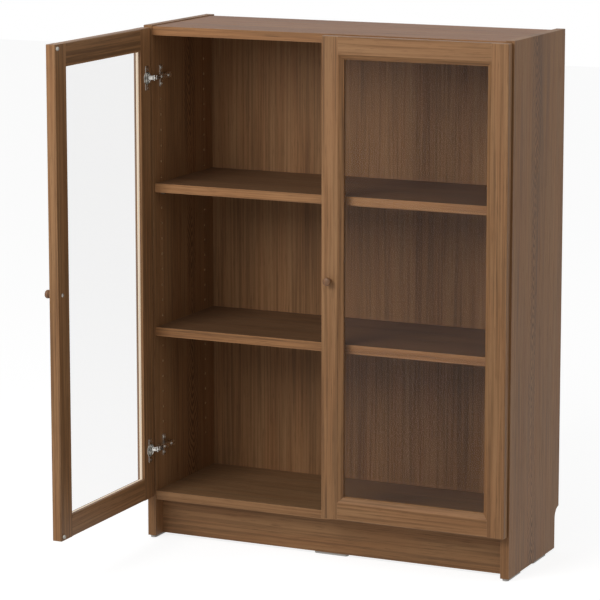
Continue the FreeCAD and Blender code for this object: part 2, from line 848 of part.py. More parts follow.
# ------------------------------------------------------------------ export
def save_carcass():
    save("left_side_panel", side_panel(-1))
    save("right_side_panel", side_panel(1))
    save("top_board", flat_board("top_board", end_board_recess))
    save("bottom_board", flat_board("bottom_board", end_board_recess))
    save("fixed_shelf", flat_board("fixed_shelf", shelf_recess))
    save("adjustable_shelf", adjustable_shelf())
    save("plinth_board", plinth_board())
    nails = back_nail_places()
    save("back_panel", back_panel().cut(nail_bores()))
    save("back_nails", [back_nail(x, z, 0) for x, z in nails])
    sides = (-1, 1)
    pin_ys = (hole_front_y, hole_rear_y)
    save("shelf_pins", [shelf_pin(side, y) for side in sides for y in pin_ys])
    cams, bolts, dowels = [], [], plinth_top_dowels(0)
    for side in sides:
        for name in jointed_boards:
            for y, z, direction in cam_places(name):
                cams.append(cam(side, y, z, direction))
                bolts.append(cam_bolt(side, y, z))
            dowels += [dowel(side, y, z) for y, z in dowel_places(name)]
    save("cam_locks", cams)
    save("cam_bolts", bolts)
    save("carcass_dowels", dowels)
    feet = [vec(side * side_glide_x, y, 0) for side in sides for y in side_glide_places]
    save("side_glides", [glide(foot, vec(0, 1, 0)) for foot in feet])
    save("plinth_glide", glide(plinth_glide_centre, vec(1, 0, 0)))


def save_hinge_hardware():
    screws, adjusters = [], []
    for name, hand in (("left", lambda shape: shape), ("right", mirrored)):
        for level, z in hinge_heights.items():
            save(name + "_" + level + "_hinge_arm", hand(hinge_arm(z)))
            save(name + "_" + level + "_mounting_plate", hand(mounting_plate(z)))
            screws += [hand(plate_screw(h)) for h in screw_rows(z)]
            adjusters += [hand(adjuster(z, out)) for out in adjuster_out]
    save("plate_screws", screws)
    save("adjusting_screws", adjusters)


def save_door(name, hand, opening):
    levels = hinge_heights.values()
    save(name + "_long_links", [hand(long_link_at(long_link(z), opening)) for z in levels])
    save(name + "_short_links", [hand(short_link_at(short_link(z), opening)) for z in levels])
    for piece, shape in door_pieces().items():
        shapes = shape if isinstance(shape, list) else [shape]
        placed = [hand(door_at(s, opening)) for s in shapes]
        save(name + "_" + piece, placed if len(placed) > 1 else placed[0])


os.makedirs("parts", exist_ok=True)
save_carcass()
save_hinge_hardware()
save_door("left", lambda shape: shape, left_door_open)
save_door("right", mirrored, 0.0)
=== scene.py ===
import json
import math

import bmesh
import bpy
from mathutils import Matrix, Vector


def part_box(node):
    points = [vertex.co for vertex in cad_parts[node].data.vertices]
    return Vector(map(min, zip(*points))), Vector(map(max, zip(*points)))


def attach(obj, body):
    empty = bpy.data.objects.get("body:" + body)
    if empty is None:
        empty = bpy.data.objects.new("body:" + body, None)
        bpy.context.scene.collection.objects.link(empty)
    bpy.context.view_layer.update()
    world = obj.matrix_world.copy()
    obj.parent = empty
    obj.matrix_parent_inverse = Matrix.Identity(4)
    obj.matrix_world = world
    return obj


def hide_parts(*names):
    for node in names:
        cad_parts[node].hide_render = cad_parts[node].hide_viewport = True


bl_info = {
    "name": "Bookcase with glass doors",
    "version": (1, 0, 0),
    "blender": (4, 5, 0),
    "location": "3D View > Sidebar > Bookcase",
    "description": "Dresses the packed bookcase in foil, glass, wood and steel",
    "category": "Object",
}

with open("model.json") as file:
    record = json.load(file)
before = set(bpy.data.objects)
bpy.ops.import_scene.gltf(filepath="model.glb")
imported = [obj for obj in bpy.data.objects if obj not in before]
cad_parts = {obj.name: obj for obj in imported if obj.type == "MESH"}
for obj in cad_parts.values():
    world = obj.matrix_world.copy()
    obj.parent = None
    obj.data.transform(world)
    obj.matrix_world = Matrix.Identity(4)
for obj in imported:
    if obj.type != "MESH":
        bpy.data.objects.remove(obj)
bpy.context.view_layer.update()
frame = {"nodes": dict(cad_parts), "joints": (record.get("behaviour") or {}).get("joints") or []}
SIDES = ("left", "right")
LEVELS = ("upper", "lower")
MM = 0.001
WELD = 1e-6  # corners nearer than this are one corner
TURNED = 0.6  # faces of a turned piece that meet at less, in radians, are shaded smooth
WHITE = (1, 1, 1)


# ---- measures
def tone(code):
    """Colour written as six hex digits, in the linear values that shaders take."""
    parts = [int(code[n:n + 2], 16) / 255 for n in (0, 2, 4)]
    return tuple(c / 12.92 if c <= 0.04045 else ((c + 0.055) / 1.055) ** 2.4 for c in parts)


def colour_prop(label, text, code):
    return bpy.props.FloatVectorProperty(
        name=label, description=text, default=tone(code), subtype="COLOR", min=0, max=1)


def length_prop(label, text, mm):
    return bpy.props.FloatProperty(
        name=label, description=text, default=mm * MM, unit="LENGTH", min=0, precision=4)


def level_prop(label, text, level):
    return bpy.props.FloatProperty(name=label, description=text, default=level, min=0)


class BookcaseFoil(bpy.types.PropertyGroup):
    """Colours and grain of the printed walnut foil."""
    light: colour_prop("Light grain", "Early wood between the figure lines", "A47C56")
    middle: colour_prop("Middle grain", "Body colour of the foil", "8B6542")
    dark: colour_prop("Dark grain", "Late wood of the figure", "62462E")
    pore: colour_prop("Pores", "Short dark streaks along the grain", "3E2818")
    turned: colour_prop("Turned wood", "Body colour of the knobs", "8A5C38")
    raw: colour_prop("Raw board", "Chipboard inside the holes", "C8A478")
    # The edge colour and its width make painted edge highlights as well as worn foil.
    edge: colour_prop("Edge wear", "Foil worn thin along the edges", "B08A66")
    edge_width: length_prop("Edge wear width", "How far the wear reaches from an edge", 1.6)
    arch_step: length_prop("Arch step", "From one arch of the figure to the next", 20)
    rounding: length_prop("Edge rounding", "Rounding of the side panels' edges", 0.5)


class BookcaseMetal(bpy.types.PropertyGroup):
    """Colours of the steel, plastic and glass pieces."""
    nickel: colour_prop("Nickel", "Plated hinges and screws", "CFCCC6")
    cam: colour_prop("Cam locks", "Cast zinc of the cam locks", "A5A4A0")
    pin: colour_prop("Shelf pins", "Dull plating of the shelf pins", "77695A")
    nail: colour_prop("Nails", "Heads of the back panel's nails", "8C8880")
    plastic: colour_prop("Glide plastic", "Moulded glides under the sides", "BDBAB5")
    bumper: colour_prop("Bumpers", "Soft clear buffers on the doors", "B8B4AA")
    # The tape's colour is also given off as a glow: painted light.
    seal: colour_prop("Glazing tape", "Pale tape between pane and groove", "F4E6D0")
    dowel: colour_prop("Dowels", "Beech of the hidden dowels", "C9A57C")
    glass: colour_prop("Glass", "What the pane lets through at each face", "FBFBFB")


class BookcaseSizes(bpy.types.PropertyGroup):
    """Sizes of the small pieces that are dressed here."""
    hole_radius: length_prop("System hole radius", "Holes in the sides", 2.5)
    hole_depth: length_prop("System hole depth", "Depth of the holes in the sides", 12)
    hole_pitch: length_prop("System hole pitch", "Step from hole to hole", 32)
    first_hole: length_prop("First hole height", "Lowest hole above the floor", 176)
    hole_inset: length_prop("Hole line inset", "Front holes behind the front edge", 37)
    hole_spacing: length_prop("Hole line spacing", "Between the two lines of holes", 192)
    hole_count: bpy.props.IntProperty(
        name="Holes in a line", description="Holes in each line of a side", default=26, min=1)
    knob_radius: length_prop("Knob radius", "Widest part of the knob", 8.5)
    knob_neck: length_prop("Knob neck radius", "Where the knob meets the door", 5.5)
    cup_radius: length_prop("Hinge cup radius", "Outside of the drawn cup", 13)
    cup_depth: length_prop("Hinge cup depth", "Floor of the cup below the door's back", 12)
    flat: length_prop("Frame flat", "Front face of a door's frame up to its bevel", 35)
    stile_lip: length_prop("Stile lip", "Width of the stiles on the door's back", 43)
    rail_lip: length_prop("Rail lip", "Height of the rails on the door's back", 45)
    lip_depth: length_prop("Lip depth", "Depth of the frame behind the pane", 5.8)
    tape_reach: length_prop("Tape reach", "From the pane's edge to the tape's inner edge", 11.8)
    tape_depth: length_prop("Tape thickness", "Glazing tape in front of the pane", 0.16)
    recess: length_prop("Screw recess", "Depth of the cross in the knob screw's head", 1.0)


class BookcaseStage(bpy.types.PropertyGroup):
    """Lamps and backdrop."""
    key: level_prop("Key lamp", "Watts", 48)
    fill: level_prop("Fill lamp", "Watts", 7)
    world: level_prop("World", "Strength", 0.36)
    backdrop: level_prop("Backdrop", "White is 1", 1.0)


class Chosen:
    """The values of each group, as the user has them."""

    def __getattr__(self, group):
        return getattr(bpy.context.scene, "bookcase_" + group)


chosen = Chosen()


# ---- nodes
def maths(operation, swapped=False):
    """Method of a signal that adds one Math node."""
    def method(self, *others):
        values = (*others, self) if swapped else (self, *others)
        return self.sheet.node("ShaderNodeMath", values, operation=operation)
    return method


class Signal:
    """A node's first output, or another by name or number. It takes part in sums, so
    that maths reads as maths."""

    def __init__(self, sheet, node, output=0):
        self.sheet, self.node, self.output = sheet, node, output

    def out(self, output):
        return Signal(self.sheet, self.node, output)

    __add__ = __radd__ = maths("ADD")
    __sub__, __rsub__ = maths("SUBTRACT"), maths("SUBTRACT", swapped=True)
    __mul__ = __rmul__ = maths("MULTIPLY")
    __truediv__, __pow__, __abs__ = maths("DIVIDE"), maths("POWER"), maths("ABSOLUTE")
    least, most = maths("MINIMUM"), maths("MAXIMUM")
    sine, root = maths("SINE"), maths("SQRT")

    def ramp(self, low, high, start=0.0, end=1.0):
        """Smooth change from start at low to end at high."""
        return self.sheet.node("ShaderNodeMapRange", (self, low, high, start, end),
                               interpolation_type="SMOOTHSTEP")


class NodeSheet:
    """A node tree, and the one way in which nodes are added to it."""

    def __init__(self, tree):
        self.tree = tree
        self.tree.nodes.clear()

    def feed(self, socket, value):
        """Link a signal to a socket, or set the socket's own value."""
        if isinstance(value, Signal):
            self.tree.links.new(value.node.outputs[value.output], socket)
        elif socket.type == "RGBA" and len(value) == 3:
            socket.default_value = (*value, 1)
        else:
            socket.default_value = value

    def node(self, kind, values=(), stops=(), **settings):
        """Any node: its settings and a ramp's stops first, then values or links for
        its sockets, by name or number."""
        node = self.tree.nodes.new(kind)
        for name, value in settings.items():
            setattr(node, name, value)
        for n, (place, colour) in enumerate(stops):
            elements = node.color_ramp.elements
            element = elements[n] if n < len(elements) else elements.new(place)
            element.position = place
            element.color = (*colour, 1)
        pairs = values.items() if isinstance(values, dict) else enumerate(values)
        for key, value in pairs:
            self.feed(node.inputs[key], value)
        return Signal(self, node)


# ---- finishes
class Finish(NodeSheet):
    """A material and the nodes that make its colour, gloss and surface."""

    def __init__(self, name):
        self.material = bpy.data.materials.new(name)
        self.material.use_nodes = True
        super().__init__(self.material.node_tree)

    def coordinates(self, centre=(0, 0, 0), turn=0.0):
        """Object coordinates moved and turned into a piece's own frame."""
        place = self.node("ShaderNodeTexCoord").out("Object")
        shifted = self.node("ShaderNodeVectorMath", (place, centre), operation="SUBTRACT")
        values = {"Vector": shifted, "Angle": -turn}
        return self.node("ShaderNodeVectorRotate", values, rotation_type="Z_AXIS")

    def axes(self, place):
        node = self.node("ShaderNodeSeparateXYZ", (place,))
        return [node.out(axis) for axis in "XYZ"]

    def noise(self, place, scale, detail, roughness=0.5, stretch=None, offset=0.0):
        """Noise with about scale features in a metre. stretch scales it on each axis
        once more, and offset picks another part of it."""
        if stretch:
            spot = (offset, offset * 0.7, offset * 1.3)
            place = self.node("ShaderNodeMapping",
                              {"Vector": place, "Location": spot, "Scale": stretch})
        values = {"Vector": place, "Scale": scale, "Detail": detail, "Roughness": roughness}
        return self.node("ShaderNodeTexNoise", values).out("Fac")

    def blend(self, factor, first, second, kind="MIX"):
        """Mix of two colours. The Mix node's colour sockets are known by number only."""
        values = {0: factor, 6: first, 7: second}
        return self.node("ShaderNodeMix", values, data_type="RGBA", blend_type=kind).out(2)

    def tinted(self, body, tint):
        return self.blend(1.0, body, tint, "MULTIPLY")

    def bump(self, height, strength, distance):
        values = {"Height": height, "Strength": strength, "Distance": distance * MM}
        return self.node("ShaderNodeBump", values)

    def surface(self, base, rough, normal, metallic=0.0, sheen=0.5, glow=0.0):
        """Principled surface; sheen is its specular level."""
        values = {"Base Color": base, "Roughness": rough, "Normal": normal,
                  "Metallic": metallic, "Specular IOR Level": sheen}
        # A glow is painted light: the surface gives off its base colour.
        if glow:
            values.update({"Emission Color": base, "Emission Strength": glow})
        return self.done(self.node("ShaderNodeBsdfPrincipled", values))

    def done(self, shader):
        self.node("ShaderNodeOutputMaterial", {"Surface": shader})
        return self.material


def edge_wear_and_highlight(finish, place, half, reach):
    """1 on a box's edges, falling to 0 at reach: the second nearest face counts."""
    near = [limit - abs(coordinate) for coordinate, limit in zip(finish.axes(place), half)]
    low, high = near[0].least(near[1]), near[0].most(near[1])
    second = low.most(high.least(near[2]))
    patchy = finish.noise(place, 60, 3)
    return second.ramp(0, reach, 1, 0) * patchy.ramp(0.3, 0.75, 0.25, 1)


def walnut(name, low, high, grain, place=Matrix.Identity(4), seed=0.0, heart=None,
           bold=0.36, gloss=0.5, worn=0.3, faces=WHITE, edge_light=WHITE):
    """Printed foil for the board from low to high in the frame of place: fine lines,
    bands and pores along the grain, and arches stacked along a heart line where one is
    given. faces and band scale the colours of the wide faces and of the strip on the
    front edge."""
    foil, finish = chosen.foil, Finish(name)
    half = (high - low) / 2
    spot = finish.coordinates(place @ ((low + high) / 2), turn_of(place))
    along = "XYZ".index(grain)
    parts = finish.axes(spot)
    widest = max((n for n in range(3) if n != along), key=lambda n: half[n])

    def layer(stretch, offset, scale, detail, roughness=0.5):
        """Noise drawn out along the grain."""
        scales = tuple(stretch if n == along else 1 for n in range(3))
        return finish.noise(spot, scale, detail, roughness, scales, seed + offset)

    fine = layer(0.014, 1.3, 230, 2, 0.55).ramp(0.36, 0.64)
    bands = layer(0.03, 4.4, 72, 3, 0.6).ramp(0.3, 0.7)
    drift = layer(0.08, 9.1, 14, 3).ramp(0.25, 0.75)
    pores = layer(0.03, 5.9, 700, 2, 0.6).ramp(0.55, 0.7)
    hue = layer(0.1, 3.3, 40, 2).ramp(0.3, 0.7)
    shade = fine * bold + bands * 0.14 + drift * 0.3 + (0.28 - bold / 2)
    height = fine * 0.25
    if heart is not None:
        arches = arched_figure(finish, parts[along], parts[widest] - heart, layer)
        shade = shade - arches * 0.8
        height = height - arches * 0.2
    stops = [(0.0, foil.dark), (0.45, foil.middle), (1.0, foil.light)]
    body = finish.node("ShaderNodeValToRGB", (shade,), stops)
    reddened = finish.tinted(body, (1.0, 0.94, 0.9))
    body = finish.blend(hue, body, reddened)
    # Painted shade and painted light: the front edge and the wide faces get their own colour
    # factors.
    front = -half[1]
    strip = parts[1].ramp(front + 0.2 * MM, front + 0.5 * MM, 1, 0)
    body = finish.blend(strip, finish.tinted(body, faces), finish.tinted(body, edge_light))
    body = finish.blend(pores * 0.4, body, foil.pore)
    # Lighter patchy colour along every edge: painted edge highlight as well as wear.
    wear = edge_wear_and_highlight(finish, spot, half, foil.edge_width)
    body = finish.blend(wear * worn, body, foil.edge)
    rough = gloss + pores * 0.12 - wear * 0.08 + fine * 0.06
    normal = finish.bump(height - pores * 0.6, 0.25, 0.2)
    return finish.surface(body, rough, normal, sheen=0.25)


def arched_figure(finish, along, off_heart, layer):
    """Dark arches stacked down a heart line, fading to either side of it."""
    wander = (layer(0.25, 0.0, 9, 2) - 0.5) * 0.045
    ripple = (layer(0.5, 7.7, 60, 3) - 0.5) * 1.5
    aside = off_heart + wander
    blunt, slope = 6e-6, 2.6  # an arch's tip, in square metres, and its steepness
    away = (aside * aside + blunt).root()
    rings = (along - away * slope) / chosen.foil.arch_step + ripple
    lines = (rings * (2 * math.pi)).sine() * 0.5 + 0.5
    strength = layer(0.4, 2.2, 12, 2).ramp(0.3, 0.6, 0.35, 1)
    return lines * lines * strength * away.ramp(0.01, 0.036, 1, 0)


def turned_wood(name, centre):
    """Knob turned from solid wood and stained: rings on its face, grain round it."""
    foil, finish = chosen.foil, Finish(name)
    place = finish.coordinates(centre)
    fibre = finish.noise(place, 900, 3, 0.6, (1, 1, 0.12), 2.0)
    rings = finish.noise(place, 160, 2, 0.5, (1, 1, 0.25), 4.0)
    body = finish.blend(fibre.ramp(0.35, 0.7), foil.dark, foil.turned)
    body = finish.blend(rings.ramp(0.4, 0.75) * 0.4, body, foil.light)
    normal = finish.bump(fibre * 0.5 + rings * 0.3, 0.3, 0.2)
    return finish.surface(body, 0.38 + fibre * 0.15, normal)


def plated(name, colour, rough=0.22, mouth=None):
    """Plated steel: faint drawing marks, cloudiness and a few dull handling spots. A
    mouth, its middle and turn, gives a greased inside that darkens with depth."""
    finish = Finish(name)
    place = finish.coordinates()
    marks = finish.noise(place, 1400, 2, 0.6, (1, 1, 0.05))
    cloud = finish.noise(place, 220, 3)
    dull = cloud.ramp(0.5, 0.75)
    body = finish.blend(dull * 0.35, colour, tuple(c * 0.62 for c in colour))
    gloss = rough + marks * 0.12 + dull * 0.12
    if mouth:
        # Painted shade: the cup's inside darkens to near black with depth.
        inside = finish.axes(finish.coordinates(*mouth))[1].ramp(0.5 * MM, 3 * MM, 0, 0.9)
        painted_shade = (0.015, 0.013, 0.011)
        body = finish.blend(inside, body, painted_shade)
        gloss = gloss + inside * 0.3
    return finish.surface(body, gloss, finish.bump(marks + cloud, 0.12, 0.1), metallic=1.0)


def moulded(name, colour, rough=0.45, grit=900.0, wear=0.25, glow=0.0):
    """Moulded plastic or dense wood: fine grain with scuffed patches. Light that comes
    through from the far side is given as a glow."""
    finish = Finish(name)
    place = finish.coordinates()
    grain = finish.noise(place, grit, 2)
    scuffs = finish.noise(place, 90, 4, 0.6, (1, 0.3, 1)).ramp(0.5, 0.8)
    body = finish.blend(scuffs * wear, colour, tuple(c * 0.6 for c in colour))
    gloss = rough + grain * 0.15 + scuffs * 0.1
    return finish.surface(body, gloss, finish.bump(grain, 0.2, 0.1), glow=glow)


def clear_pane(name):
    """Thin clear glass: it lets the view through and mirrors the room at its faces."""
    finish = Finish(name)
    place = finish.coordinates()
    smears = finish.noise(place, 22, 4, 0.62, (1, 1, 0.25)).ramp(0.5, 0.85)
    through = finish.node("ShaderNodeBsdfTransparent", {"Color": chosen.metal.glass})
    cool = {"Color": (0.8, 0.88, 1.0), "Roughness": 0.02}
    mirror = finish.node("ShaderNodeBsdfAnisotropic", cool)
    facing = finish.node("ShaderNodeLayerWeight", {"Blend": 0.5}).out("Facing")
    share = facing ** 5.0 * 0.12 + 0.006 + smears * 0.003
    return finish.done(finish.node("ShaderNodeMixShader", (share, through, mirror)))


def paint(node, material):
    """Give a kept CAD node a better material."""
    for place in frame["nodes"][node].material_slots:
        place.link = "OBJECT"
        place.material = material


# ---- places
def corner_pair(points):
    """Lowest and highest corner of the box round some points."""
    return [Vector([pick(p[n] for p in points) for n in range(3)]) for pick in (min, max)]


def door_place(side):
    """Matrix from a door's own frame: X to the free edge, Y out of its front, Z up,
    with the middle of the pane as its origin."""
    pane = frame["nodes"][side + "_door_glass"].data
    corners = {(round(v.co.x, 6), round(v.co.y, 6)) for v in pane.vertices}
    low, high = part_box(side + "_door_glass")
    middle = (low + high) / 2
    far = max(corners, key=lambda c: (c[0] - middle.x) ** 2 + (c[1] - middle.y) ** 2)
    spans = [Vector((*c, 0)) - Vector((*far, 0)) for c in corners if c != far]
    spans.sort(key=lambda span: span.length)
    knob_low, knob_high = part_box(side + "_knob")
    to_knob = (knob_low + knob_high) / 2 - middle
    out, along = (span.normalized() for span in spans[:2])
    along *= 1 if to_knob.dot(along) > 0 else -1
    out *= 1 if to_knob.dot(out) > 0 else -1
    turn = Matrix((along, out, Vector((0, 0, 1)))).transposed().to_4x4()
    return Matrix.Translation(middle) @ turn


def turn_of(place):
    """Angle about Z of a door's frame."""
    return math.atan2(place[1][0], place[0][0])


def box_in(place, node):
    """Corners of a CAD node in a frame given by its matrix."""
    back = place.inverted()
    return corner_pair([back @ v.co for v in frame["nodes"][node].data.vertices])


def solid_boxes(node):
    """Corner pair of every separate solid in a CAD node."""
    bm = bmesh.new()
    bm.from_mesh(frame["nodes"][node].data)
    bmesh.ops.remove_doubles(bm, verts=bm.verts, dist=WELD)
    left = set(bm.verts)
    boxes = []
    while left:
        group, waiting = set(), [min(left, key=lambda v: v.index)]
        while waiting:
            vert = waiting.pop()
            if vert not in group:
                group.add(vert)
                waiting += [edge.other_vert(vert) for edge in vert.link_edges]
        left -= group
        boxes.append(corner_pair([v.co for v in group]))
    bm.free()
    return boxes


def standing(place, point, way):
    """Matrix that stands a piece made round Z at a point of a door, along a way."""
    turn = Vector((0, 0, 1)).rotation_difference(Vector(way)).to_matrix().to_4x4()
    return place @ Matrix.Translation(point) @ turn


def tip(low, high, way):
    """Middle of the face of a box that a way points to."""
    return Vector([(a + b + w * (b - a)) / 2 for a, b, w in zip(low, high, way)])


def inward(low, high):
    """Way from a side panel into the bookcase."""
    return (-1 if low.x + high.x > 0 else 1, 0, 0)


def seat(low, high):
    """Middle of a box's lowest face along Y, and the box's depth."""
    return Vector(((low.x + high.x) / 2, low.y, (low.z + high.z) / 2)), high.y - low.y


# ---- meshes
def linked(name, data):
    """New object in the scene."""
    piece = bpy.data.objects.new(name, data)
    bpy.context.scene.collection.objects.link(piece)
    return piece


def to_object(name, mesh, material, body, slot, *nodes):
    """Put a finished mesh in the scene, on its body, in place of its CAD nodes."""
    piece = linked(name, mesh)
    if not mesh.materials:
        mesh.materials.append(material)
    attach(piece, body)
    if nodes:
        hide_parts(*nodes)


def closed_mesh(name, bm, smooth_angle=None):
    """Mesh with its faces outwards, shaded smooth across edges below an angle."""
    bmesh.ops.recalc_face_normals(bm, faces=bm.faces)
    if smooth_angle is not None:
        for face in bm.faces:
            face.smooth = True
        for edge in bm.edges:
            edge.smooth = edge.calc_face_angle(math.pi) < smooth_angle
    mesh = bpy.data.meshes.new(name)
    bm.to_mesh(mesh)
    bm.free()
    return mesh


def joined_loops(bm, first, second):
    """Band of faces between two loops of equal count."""
    for n in range(len(first)):
        after = (n + 1) % len(first)
        bm.faces.new((first[n], first[after], second[after], second[n]))


def skin(bm, rings, matrix=Matrix.Identity(4)):
    """Closed solid through rings of equal count; the first and last are capped."""
    loops = [[bm.verts.new(matrix @ Vector(point)) for point in points] for points in rings]
    for lower, upper in zip(loops, loops[1:]):
        joined_loops(bm, lower, upper)
    bm.faces.new(loops[0][::-1])
    bm.faces.new(loops[-1])


def ring(radius, height, angles):
    """Ring round Z; radius is a number or a function of the angle."""
    reach = radius if callable(radius) else (lambda angle: radius)
    return [(reach(a) * math.cos(a), reach(a) * math.sin(a), height) for a in angles]


def even_angles(count):
    return [2 * math.pi * n / count for n in range(count)]


def in_mm(outline):
    return [(radius * MM, height * MM) for radius, height in outline]


def turned_piece(outline, matrix=Matrix.Identity(4), count=32, angles=None, bm=None):
    """Solid turned round Z from an outline of (radius, height) pairs, on its own or
    added to bm. A radius can be a function of the angle."""
    bm = bmesh.new() if bm is None else bm
    angles = angles or even_angles(count)
    skin(bm, [ring(radius, height, angles) for radius, height in outline], matrix)
    return bm


def cross_reach(length, width):
    """Outline of a cross as a radius for each angle."""
    def reach(angle):
        across = abs(math.cos(angle)), abs(math.sin(angle))
        long_way, short_way = max(across), max(min(across), 1e-6)
        return min(length / long_way, max(width / short_way, width * math.sqrt(2)))
    return reach


def cross_head(outline, cross, matrix=Matrix.Identity(4), count=32):
    """Turned head with a cross recess in its last face. The cross is given by the reach
    and the half width of its arms and its depth, in mm, and narrows to its floor."""
    length, width, depth = (size * MM for size in cross)
    top = outline[-1][1]
    recess = [(cross_reach(length, width), top),
              (cross_reach(length * 0.8, width * 0.7), top - depth)]
    return turned_piece(outline + recess, matrix, count)


def rounded_outline(points, steps):
    """Points of a smooth curve through an outline of (radius, height) pairs."""
    result = []
    for n in range(len(points) - 1):
        before = points[max(n - 1, 0)]
        start, end = points[n], points[n + 1]
        after = points[min(n + 2, len(points) - 1)]
        for step in range(steps):
            t = step / steps
            result.append(tuple(
                0.5 * (2 * b + (c - a) * t + (2 * a - 5 * b + 4 * c - d) * t * t
                       + (3 * b - a - 3 * c + d) * t ** 3)
                for a, b, c, d in zip(before, start, end, after)))
    return result + [points[-1]]


def bevel_edges(bm, width, angle=30.0, segments=3, shortest=0.0):
    """Round the edges that are sharper than an angle and not too short."""
    limit = math.radians(angle)
    edges = [e for e in bm.edges if e.is_manifold and e.calc_face_angle(0) > limit
             and e.calc_length() > shortest]
    bmesh.ops.bevel(bm, geom=edges, offset=width, segments=segments, profile=0.5,
                    affect="EDGES", clamp_overlap=True)


def block_mesh(name, low, high, place=Matrix.Identity(4), rounding=0.0):
    """Block from corner to corner, with its edges rounded where a rounding is given."""
    floor = ((low[0], low[1]), (high[0], low[1]), (high[0], high[1]), (low[0], high[1]))
    bm = bmesh.new()
    skin(bm, [[(x, y, z) for x, y in floor] for z in (low[2], high[2])], place)
    if rounding:
        bevel_edges(bm, rounding)
    return closed_mesh(name, bm)


def merged(mesh):
    """Copy of a mesh to work on, with its doubles merged and its facets joined."""
    bm = bmesh.new()
    bm.from_mesh(mesh)
    bmesh.ops.remove_doubles(bm, verts=bm.verts, dist=WELD)
    bmesh.ops.dissolve_limit(bm, angle_limit=math.radians(1), verts=bm.verts, edges=bm.edges)
    return bm


def rounded_mesh(name, mesh, width, shortest=0.0):
    """A mesh with its long edges rounded."""
    bm = merged(mesh)
    bevel_edges(bm, width, 35, 2, shortest)
    return closed_mesh(name, bm)


def reshaped(name, mesh, place, changes):
    """A solid with blocks, given in a door's own frame, joined to it or cut from it."""
    holder = linked(name + "_holder", mesh)
    blocks = []
    for operation, low, high in changes:
        blocks.append(linked(name + "_block", block_mesh(name, low, high, place)))
        modifier = holder.modifiers.new("Change", "BOOLEAN")
        modifier.operation = operation
        modifier.solver = "EXACT"
        modifier.object = blocks[-1]
    result = evaluated(holder, name)
    for block in blocks:
        bpy.data.objects.remove(block)
    return result


def evaluated(holder, name):
    """Plain mesh of an object with its modifiers; the object itself is removed."""
    bpy.context.view_layer.update()
    graph = bpy.context.evaluated_depsgraph_get()
    mesh = bpy.data.meshes.new_from_object(holder.evaluated_get(graph))
    mesh.name = name
    holder.modifiers.clear()
    bpy.data.objects.remove(holder)
    return mesh


# ---- repeated pieces
class PieceTree(NodeSheet):
    """A geometry node tree with named inputs, which ends in real, painted faces."""

    def __init__(self, name, kinds):
        super().__init__(bpy.data.node_groups.new(name, "GeometryNodeTree"))
        for label, kind in {"Geometry": "Geometry", **kinds}.items():
            self.add_socket(label, kind, "INPUT")
        self.add_socket("Geometry", "Geometry", "OUTPUT")
        self.given = self.node("NodeGroupInput").out

    def add_socket(self, label, kind, way):
        self.tree.interface.new_socket(
            name=label, in_out=way, socket_type="NodeSocket" + kind)

    def painted(self, shape, material, **selection):
        values = {"Geometry": shape, "Material": material, **selection}
        return self.node("GeometryNodeSetMaterial", values)

    def realised(self, shape):
        return self.node("GeometryNodeRealizeInstances", (shape,))

    def result(self, shape, material, **selection):
        """Output of a shape; returns the tree."""
        real = self.painted(self.realised(shape), material, **selection)
        self.node("NodeGroupOutput", (real,))
        return self.tree


def repeat_tree(name, material):
    """Node tree: one fixing stood on every point, turned to that point's way."""
    sheet = PieceTree(name, {"Fixing": "Object", "Size": "Float"})
    way = sheet.node("GeometryNodeInputNamedAttribute", {"Name": "way"},
                     data_type="FLOAT_VECTOR")
    turn = sheet.node("FunctionNodeAlignRotationToVector", {"Vector": way}, axis="Z")
    fixing = sheet.node("GeometryNodeObjectInfo", {"Object": sheet.given("Fixing")})
    stood = sheet.node("GeometryNodeInstanceOnPoints", {
        "Points": sheet.given("Geometry"), "Instance": fixing.out("Geometry"),
        "Rotation": turn, "Scale": sheet.given("Size")})
    return sheet.result(stood, material)


def hole_tree(name, material, raw):
    """Node tree: two lines of holes sunk into a side panel."""
    sheet = PieceTree(name, {"Radius": "Float", "Depth": "Float", "Pitch": "Float",
                             "Count": "Int", "Front line": "Vector", "Rear line": "Vector"})
    given = sheet.given
    drill = sheet.node("GeometryNodeMeshCylinder", {
        "Vertices": 20, "Radius": given("Radius"), "Depth": given("Depth") * 2})
    step = sheet.node("ShaderNodeCombineXYZ", {"Z": given("Pitch")})
    both = sheet.node("GeometryNodeJoinGeometry")
    for label in ("Front line", "Rear line"):
        line = sheet.node("GeometryNodeMeshLine", {
            "Count": given("Count"), "Start Location": given(label), "Offset": step})
        sheet.feed(both.node.inputs[0], line)
    across = (0, math.pi / 2, 0)
    drills = sheet.node("GeometryNodeInstanceOnPoints", {
        "Points": both, "Rotation": across,
        "Instance": sheet.painted(drill.out("Mesh"), raw)})
    sunk = sheet.node(
        "GeometryNodeMeshBoolean", {"Mesh 1": given("Geometry"), "Mesh 2": sheet.realised(drills)},
        operation="DIFFERENCE", solver="EXACT")
    number = sheet.node("GeometryNodeInputMaterialIndex")
    board = sheet.node("FunctionNodeCompare", {"A": number}, data_type="INT",
                       operation="EQUAL")
    return sheet.result(sunk.out("Mesh"), material, Selection=board)


def set_inputs(modifier, values):
    for item in modifier.node_group.interface.items_tree:
        if item.item_type == "SOCKET" and item.in_out == "INPUT" and item.name in values:
            modifier[item.identifier] = values[item.name]


def repeated_mesh(name, bm, places, material):
    """Mesh of one turned fixing, held in bm, at every (point, way)."""
    points = bpy.data.meshes.new(name + "_points")
    points.from_pydata([tuple(p) for p, way in places], [], [])
    layer = points.attributes.new("way", "FLOAT_VECTOR", "POINT")
    layer.data.foreach_set("vector", [c for p, way in places for c in way])
    holder = linked(name + "_holder", points)
    fixing = linked(name + "_fixing", closed_mesh(name + "_fixing", bm, TURNED))
    modifier = holder.modifiers.new("Repeat", "NODES")
    modifier.node_group = repeat_tree(name + "_tree", material)
    set_inputs(modifier, {"Fixing": fixing, "Size": 1.0})
    mesh = evaluated(holder, name)
    bpy.data.objects.remove(fixing)
    return mesh


